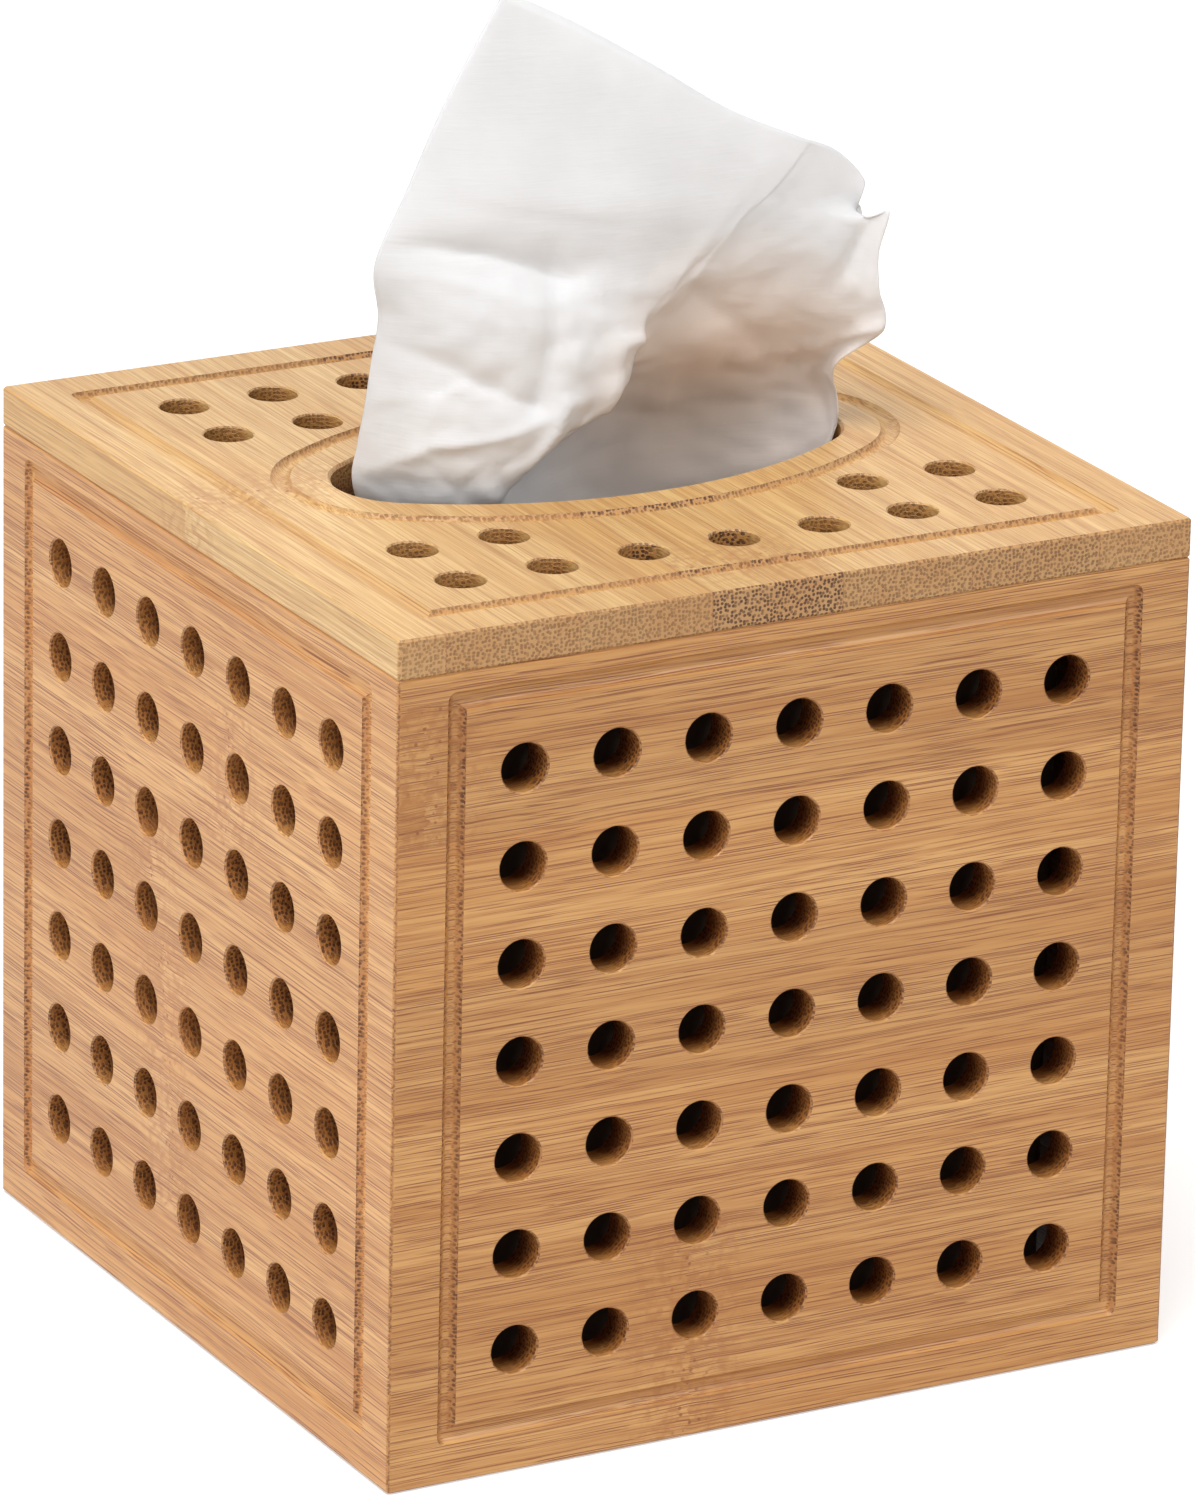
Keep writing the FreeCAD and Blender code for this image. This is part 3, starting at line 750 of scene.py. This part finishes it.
def pile_tree():
    """Geometry nodes for a pile of folded layers: one fold with round edges, repeated up the pile."""
    tree = bpy.data.node_groups.new("folded_pile", "GeometryNodeTree")
    kinds = {
        "Layers": "NodeSocketInt", "Width": "NodeSocketFloat", "Depth": "NodeSocketFloat",
        "Base": "NodeSocketFloat", "Pitch": "NodeSocketFloat", "Side play": "NodeSocketFloat",
        "Seed": "NodeSocketInt", "Paper": "NodeSocketMaterial",
    }
    sockets = {name: tree.interface.new_socket(name, in_out="INPUT", socket_type=kind) for name, kind in kinds.items()}
    tree.interface.new_socket("Geometry", in_out="OUTPUT", socket_type="NodeSocketGeometry")
    w = Wiring(tree)
    given = w.given()

    # One fold
    half_depth = w.math("MULTIPLY", given["Depth"], 0.5)
    line = w.node("GeometryNodeCurvePrimitiveLine")
    w.feed(line.inputs["Start"], w.join(0.0, w.math("MULTIPLY", half_depth, -1.0), 0.0))
    w.feed(line.inputs["End"], w.join(0.0, half_depth, 0.0))
    fold = w.node("GeometryNodeCurvePrimitiveQuadrilateral")
    w.feed(fold.inputs["Width"], given["Width"])
    w.feed(fold.inputs["Height"], w.math("MULTIPLY", given["Pitch"], FOLD_HEIGHT))
    rounded = w.node("GeometryNodeFilletCurve", mode="POLY")
    w.feed(rounded.inputs["Curve"], fold.outputs["Curve"])
    w.feed(rounded.inputs["Radius"], w.math("MULTIPLY", given["Pitch"], FOLD_RADIUS))
    rounded.inputs["Count"].default_value = FOLD_CUTS
    layer = w.node("GeometryNodeCurveToMesh")
    w.feed(layer.inputs["Curve"], line.outputs["Curve"])
    w.feed(layer.inputs["Profile Curve"], rounded.outputs["Curve"])
    layer.inputs["Fill Caps"].default_value = True

    # The fold repeated up the pile, each copy a little out of line
    points = w.node("GeometryNodeMeshLine")
    w.feed(points.inputs["Count"], given["Layers"])
    first = w.math("MULTIPLY_ADD", given["Pitch"], 0.5, given["Base"])
    w.feed(points.inputs["Start Location"], w.join(0.0, 0.0, first))
    w.feed(points.inputs["Offset"], w.join(0.0, 0.0, given["Pitch"]))
    play = w.node("FunctionNodeRandomValue", data_type="FLOAT_VECTOR")
    back = w.math("MULTIPLY", given["Side play"], -1.0)
    w.feed(play.inputs[0], w.join(back, back, 0.0))
    w.feed(play.inputs[1], w.join(given["Side play"], given["Side play"], 0.0))
    w.feed(play.inputs["Seed"], given["Seed"])
    moved = w.node("GeometryNodeSetPosition")
    w.feed(moved.inputs["Geometry"], points.outputs["Mesh"])
    w.feed(moved.inputs["Offset"], play.outputs[0])
    copies = w.node("GeometryNodeInstanceOnPoints")
    w.feed(copies.inputs["Points"], moved.outputs["Geometry"])
    w.feed(copies.inputs["Instance"], layer.outputs["Mesh"])
    real = w.node("GeometryNodeRealizeInstances")
    w.feed(real.inputs["Geometry"], copies.outputs["Instances"])
    painted = w.node("GeometryNodeSetMaterial")
    w.feed(painted.inputs["Geometry"], real.outputs["Geometry"])
    w.feed(painted.inputs["Material"], given["Paper"])
    w.feed(w.node("NodeGroupOutput").inputs["Geometry"], painted.outputs["Geometry"])
    return tree, sockets


def plain_mesh(piece):
    """Turns what a piece's modifiers make into its own mesh, and removes them."""
    made = bpy.data.meshes.new_from_object(piece.evaluated_get(bpy.context.evaluated_depsgraph_get()))
    piece.modifiers.clear()
    piece.data = made


class COVER_OT_pile(bpy.types.Operator):
    """Make the pile of folded tissues in the carton"""

    bl_idname = "tissue_cover.pile"
    bl_label = "Folded pile"

    def execute(self, context):
        settings = context.scene.tissue_cover.pile
        paper = paper_finish("folded_paper", context.scene.tissue_cover.tissue.paper, PILE_ROUGHNESS)
        low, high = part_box("tissue_stack")
        inset = 2 * (settings.edge_inset + settings.side_play)
        tree, sockets = pile_tree()
        piece = bpy.data.objects.new("folded_pile", bpy.data.meshes.new("folded_pile"))
        context.scene.collection.objects.link(piece)
        modifier = piece.modifiers.new("Layers", "NODES")
        modifier.node_group = tree
        for name, value in (
            ("Layers", settings.layers), ("Width", high.x - low.x - inset), ("Depth", high.y - low.y - inset),
            ("Base", low.z), ("Pitch", (high.z - low.z) / settings.layers), ("Side play", settings.side_play),
            ("Seed", settings.seed), ("Paper", paper),
        ):
            modifier[sockets[name].identifier] = value
        piece.update_tag()
        context.view_layer.update()
        plain_mesh(piece)
        if not piece.data.polygons:
            raise RuntimeError("the folded pile came out empty")
        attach(piece, "tissue_pack")
        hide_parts("tissue_stack")
        return {"FINISHED"}


def through(values, steps):
    """Points on smooth lines through the given ones, along the first axis."""
    ends = (2 * values[:1] - values[1:2], values, 2 * values[-1:] - values[-2:-1])
    padded = np.concatenate(ends)
    t = (np.arange(steps) / steps).reshape((steps,) + (1,) * (values.ndim - 1))
    runs = []
    for index in range(len(values) - 1):
        a, b, c, d = padded[index:index + 4]
        runs.append(0.5 * (
            2 * b + (c - a) * t + (2 * a - 5 * b + 4 * c - d) * t**2 + (3 * b - a - 3 * c + d) * t**3))
    runs.append(values[-1:])
    return np.concatenate(runs)


def tissue_surface():
    """The doubled tissue as a grid of points in mm, with the front layer's share and the dents' share by column."""
    front = np.array(TISSUE_NET, float)
    gaps = np.array(LAYER_GAPS)
    back = front[:, 1:1 + len(gaps)].copy()
    back[:, :, 0] += BACK_SHIFT_SHARE * gaps
    back[:, :, 1] += gaps
    back[-1, :, 2] -= BACK_TOP_DROP
    back[-2, :, 2] -= BACK_TOP_DROP / 2
    net = np.concatenate((front[:, ::-1], back), axis=1)
    fine = through(net, ROW_STEPS)
    fine = through(fine.swapaxes(0, 1), COLUMN_STEPS).swapaxes(0, 1)
    column = np.arange(fine.shape[1]) / COLUMN_STEPS
    fold = front.shape[1] - 1
    share = np.clip(fold + 0.3 - column, 0, 1)
    still = np.clip(np.abs(column - fold), 0.1, 1)
    return fine, share, still


def grid_normals(grid):
    """Unit normals of a grid of points."""
    normal = np.cross(np.gradient(grid, axis=1), np.gradient(grid, axis=0))
    return normal / np.maximum(np.linalg.norm(normal, axis=2, keepdims=True), 1e-9)


def distance_to_line(x, z, points):
    """Distance of each point to a chain of straight runs, in the XZ plane."""
    best = np.full(x.shape, np.inf)
    for (x0, z0), (x1, z1) in zip(points, points[1:]):
        dx, dz = x1 - x0, z1 - z0
        t = np.clip(((x - x0) * dx + (z - z0) * dz) / (dx * dx + dz * dz), 0, 1)
        best = np.minimum(best, np.hypot(x - x0 - t * dx, z - z0 - t * dz))
    return best


def dent(point, size):
    """Faceted dents of crumpled paper at one point, from about -1 to 1."""
    near = noise.voronoi(point / size)[0]
    return 2.0 * min(1.0, near[1] - near[0]) - 0.9


def creased(grid, front_share, dent_share, settings):
    """The tissue with its creases and small dents."""
    out_of = -grid_normals(grid)
    out_of *= np.where(np.median(out_of[:, :grid.shape[1] // 3, 1]) > 0, -1, 1)
    lift = np.zeros(grid.shape[:2])
    for points, height, width in CREASES:
        away = distance_to_line(grid[:, :, 0], grid[:, :, 2], points)
        lift += settings.crease * height * np.exp(-away / width) * front_share * dent_share
    crumple = settings.crumple / MM
    calm = np.clip((grid[:, :, 2] - CALM_START) / CALM_RISE, 0, CALM_MOST)
    for row in range(grid.shape[0]):
        for column in range(grid.shape[1]):
            point = Vector(grid[row, column]) + Vector((0, BACK_DENT_SHIFT * (1 - front_share[column]), 0))
            depth = sum(part * dent(point, size) for size, part in FACETS)
            depth += WAVE_SHARE * noise.noise(point / WAVE_SIZE)
            lift[row, column] += crumple * dent_share[column] * (1 - calm[row, column]) * depth
    return grid + out_of * lift[:, :, None]


class COVER_OT_tissue(bpy.types.Operator):
    """Make the tissue that stands up through the mouth"""

    bl_idname = "tissue_cover.tissue"
    bl_label = "Standing tissue"

    def execute(self, context):
        settings = context.scene.tissue_cover.tissue
        grid, front_share, dent_share = tissue_surface()
        grid = creased(grid, front_share, dent_share, settings) * MM
        rows, columns = grid.shape[:2]
        faces = []
        for row in range(rows - 1):
            for column in range(columns - 1):
                corner = row * columns + column
                faces.append((corner, corner + columns, corner + columns + 1, corner + 1))
        mesh = bpy.data.meshes.new("standing_tissue")
        mesh.from_pydata(grid.reshape(-1, 3).tolist(), [], faces)
        mesh.validate()
        mesh.shade_smooth()
        # Marks the paper deep in the fold for its painted warm bounce light
        away = np.linalg.norm(grid - np.array(PAINTED_BOUNCE_SPOT), axis=2)
        painted_bounce = PAINTED_BOUNCE_SHARE * front_share * np.clip((PAINTED_BOUNCE_REACH - away) / (PAINTED_BOUNCE_FADE * PAINTED_BOUNCE_REACH), 0, 1)
        marks = mesh.attributes.new("fold_painted_bounce", "FLOAT", "POINT")
        marks.data.foreach_set("value", painted_bounce.astype(np.float32).ravel())
        mesh.materials.append(paper_finish("tissue_paper", settings.paper, settings.roughness, settings.painted_bounce_paper))
        piece = bpy.data.objects.new("standing_tissue", mesh)
        context.scene.collection.objects.link(piece)
        wall = piece.modifiers.new("Paper", "SOLIDIFY")
        wall.thickness = settings.thickness
        wall.offset = 0.0
        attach(piece, "tissue")
        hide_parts("pop_up_tissue")
        return {"FINISHED"}


def floor_finish(settings):
    """A pale floor that keeps its shadow and reads as white in the picture and in reflections."""
    material, w, shader = new_material("pale_floor")
    shader.inputs["Base Color"].default_value = (*settings.floor, 1.0)
    shader.inputs["Roughness"].default_value = 1.0
    shader.inputs["Specular IOR Level"].default_value = 0.0
    glow = w.node("ShaderNodeEmission")
    w.feed(glow.inputs["Strength"], w.math("MULTIPLY", w.seen(), settings.floor_glow))
    both = w.node("ShaderNodeAddShader")
    w.feed(both.inputs[0], shader.outputs[0])
    w.feed(both.inputs[1], glow.outputs[0])
    output = next(n for n in material.node_tree.nodes if n.type == "OUTPUT_MATERIAL")
    w.feed(output.inputs["Surface"], both.outputs[0])
    return material


class COVER_OT_stage(bpy.types.Operator):
    """Set up the floor, the lamps and the camera"""

    bl_idname = "tissue_cover.stage"
    bl_label = "Stage"

    def execute(self, context):
        scene = context.scene
        settings = scene.tissue_cover.stage
        scene.view_settings.view_transform = "Standard"

        mesh = bpy.data.meshes.new("floor")
        corners = [(x * FLOOR_REACH, y * FLOOR_REACH, 0) for x, y in ((-1, -1), (1, -1), (1, 1), (-1, 1))]
        mesh.from_pydata(corners, [], [(0, 1, 2, 3)])
        mesh.materials.append(floor_finish(settings))
        floor = bpy.data.objects.new("floor", mesh)
        scene.collection.objects.link(floor)
        floor.location.z = CAD_LOW.z - FLOOR_DROP

        world = bpy.data.worlds.new("even_sky")
        world.use_nodes = True
        w = Wiring(world.node_tree)
        w.tree.nodes.clear()
        sky = w.node("ShaderNodeBackground")
        sky.inputs["Strength"].default_value = settings.sky
        white = w.node("ShaderNodeBackground")
        white.inputs["Strength"].default_value = 1.0
        for light in (sky, white):
            light.inputs["Color"].default_value = (1.0, 1.0, 1.0, 1.0)
        shown = w.node("ShaderNodeMixShader")
        w.feed(shown.inputs[0], w.seen())
        w.feed(shown.inputs[1], sky.outputs[0])
        w.feed(shown.inputs[2], white.outputs[0])
        w.feed(w.node("ShaderNodeOutputWorld").inputs["Surface"], shown.outputs[0])
        scene.world = world

        for name, place, power, size in (
            ("key", settings.key_place, settings.key_power, settings.lamp_size),
            ("side", settings.side_place, settings.side_power, settings.lamp_size),
            ("front", settings.front_place, settings.front_power, settings.front_size),
            ("back", settings.back_place, settings.back_power, settings.lamp_size),
        ):
            lamp = bpy.data.lights.new(name, "AREA")
            lamp.shape = "DISK"
            lamp.energy = power
            lamp.size = size
            light = bpy.data.objects.new(name, lamp)
            light.location = place
            light.rotation_euler = (Vector(LAMP_AIM) - light.location).to_track_quat("-Z", "Y").to_euler()
            light.visible_glossy = name != "back"
            scene.collection.objects.link(light)

        view = bpy.data.cameras.new("camera")
        view.sensor_width = SENSOR_WIDTH
        view.sensor_fit = "AUTO"
        view.lens = settings.lens
        view.clip_end = VIEW_END
        camera = bpy.data.objects.new("camera", view)
        camera.location = settings.camera_place
        camera.rotation_euler = Euler(settings.camera_turn)
        scene.collection.objects.link(camera)
        scene.camera = camera
        return {"FINISHED"}


OPERATORS = (COVER_OT_stage, COVER_OT_boards, COVER_OT_carton, COVER_OT_pile, COVER_OT_tissue)


class COVER_PT_panel(bpy.types.Panel):
    """Lists the pieces and their settings"""

    bl_idname = "COVER_PT_panel"
    bl_label = "Tissue box cover"
    bl_space_type = "VIEW_3D"
    bl_region_type = "UI"
    bl_category = "Tissue cover"

    def draw(self, context):
        settings = context.scene.tissue_cover
        for operator in OPERATORS:
            self.layout.operator(operator.bl_idname)
        for name in ("bamboo", "carton", "pile", "tissue", "stage"):
            group = getattr(settings, name)
            box = self.layout.box()
            box.label(text=name.capitalize())
            for prop in group.bl_rna.properties:
                if prop.identifier not in ("rna_type", "name"):
                    box.prop(group, prop.identifier)


CLASSES = (
    BambooSettings, CartonSettings, PileSettings, TissueSettings, StageSettings, CoverSettings, *OPERATORS,
    COVER_PT_panel,
)


def register():
    """Adds the settings, the operators and the panel to Blender."""
    for each in CLASSES:
        bpy.utils.register_class(each)
    bpy.types.Scene.tissue_cover = bpy.props.PointerProperty(type=CoverSettings)


def unregister():
    """Takes them away again."""
    del bpy.types.Scene.tissue_cover
    for each in reversed(CLASSES):
        bpy.utils.unregister_class(each)


def main():
    """Makes every piece and the stage."""
    register()
    bpy.ops.tissue_cover.stage()
    bpy.ops.tissue_cover.boards()
    bpy.ops.tissue_cover.carton()
    bpy.ops.tissue_cover.pile()
    bpy.ops.tissue_cover.tissue()


if __name__ == "__main__":
    main()
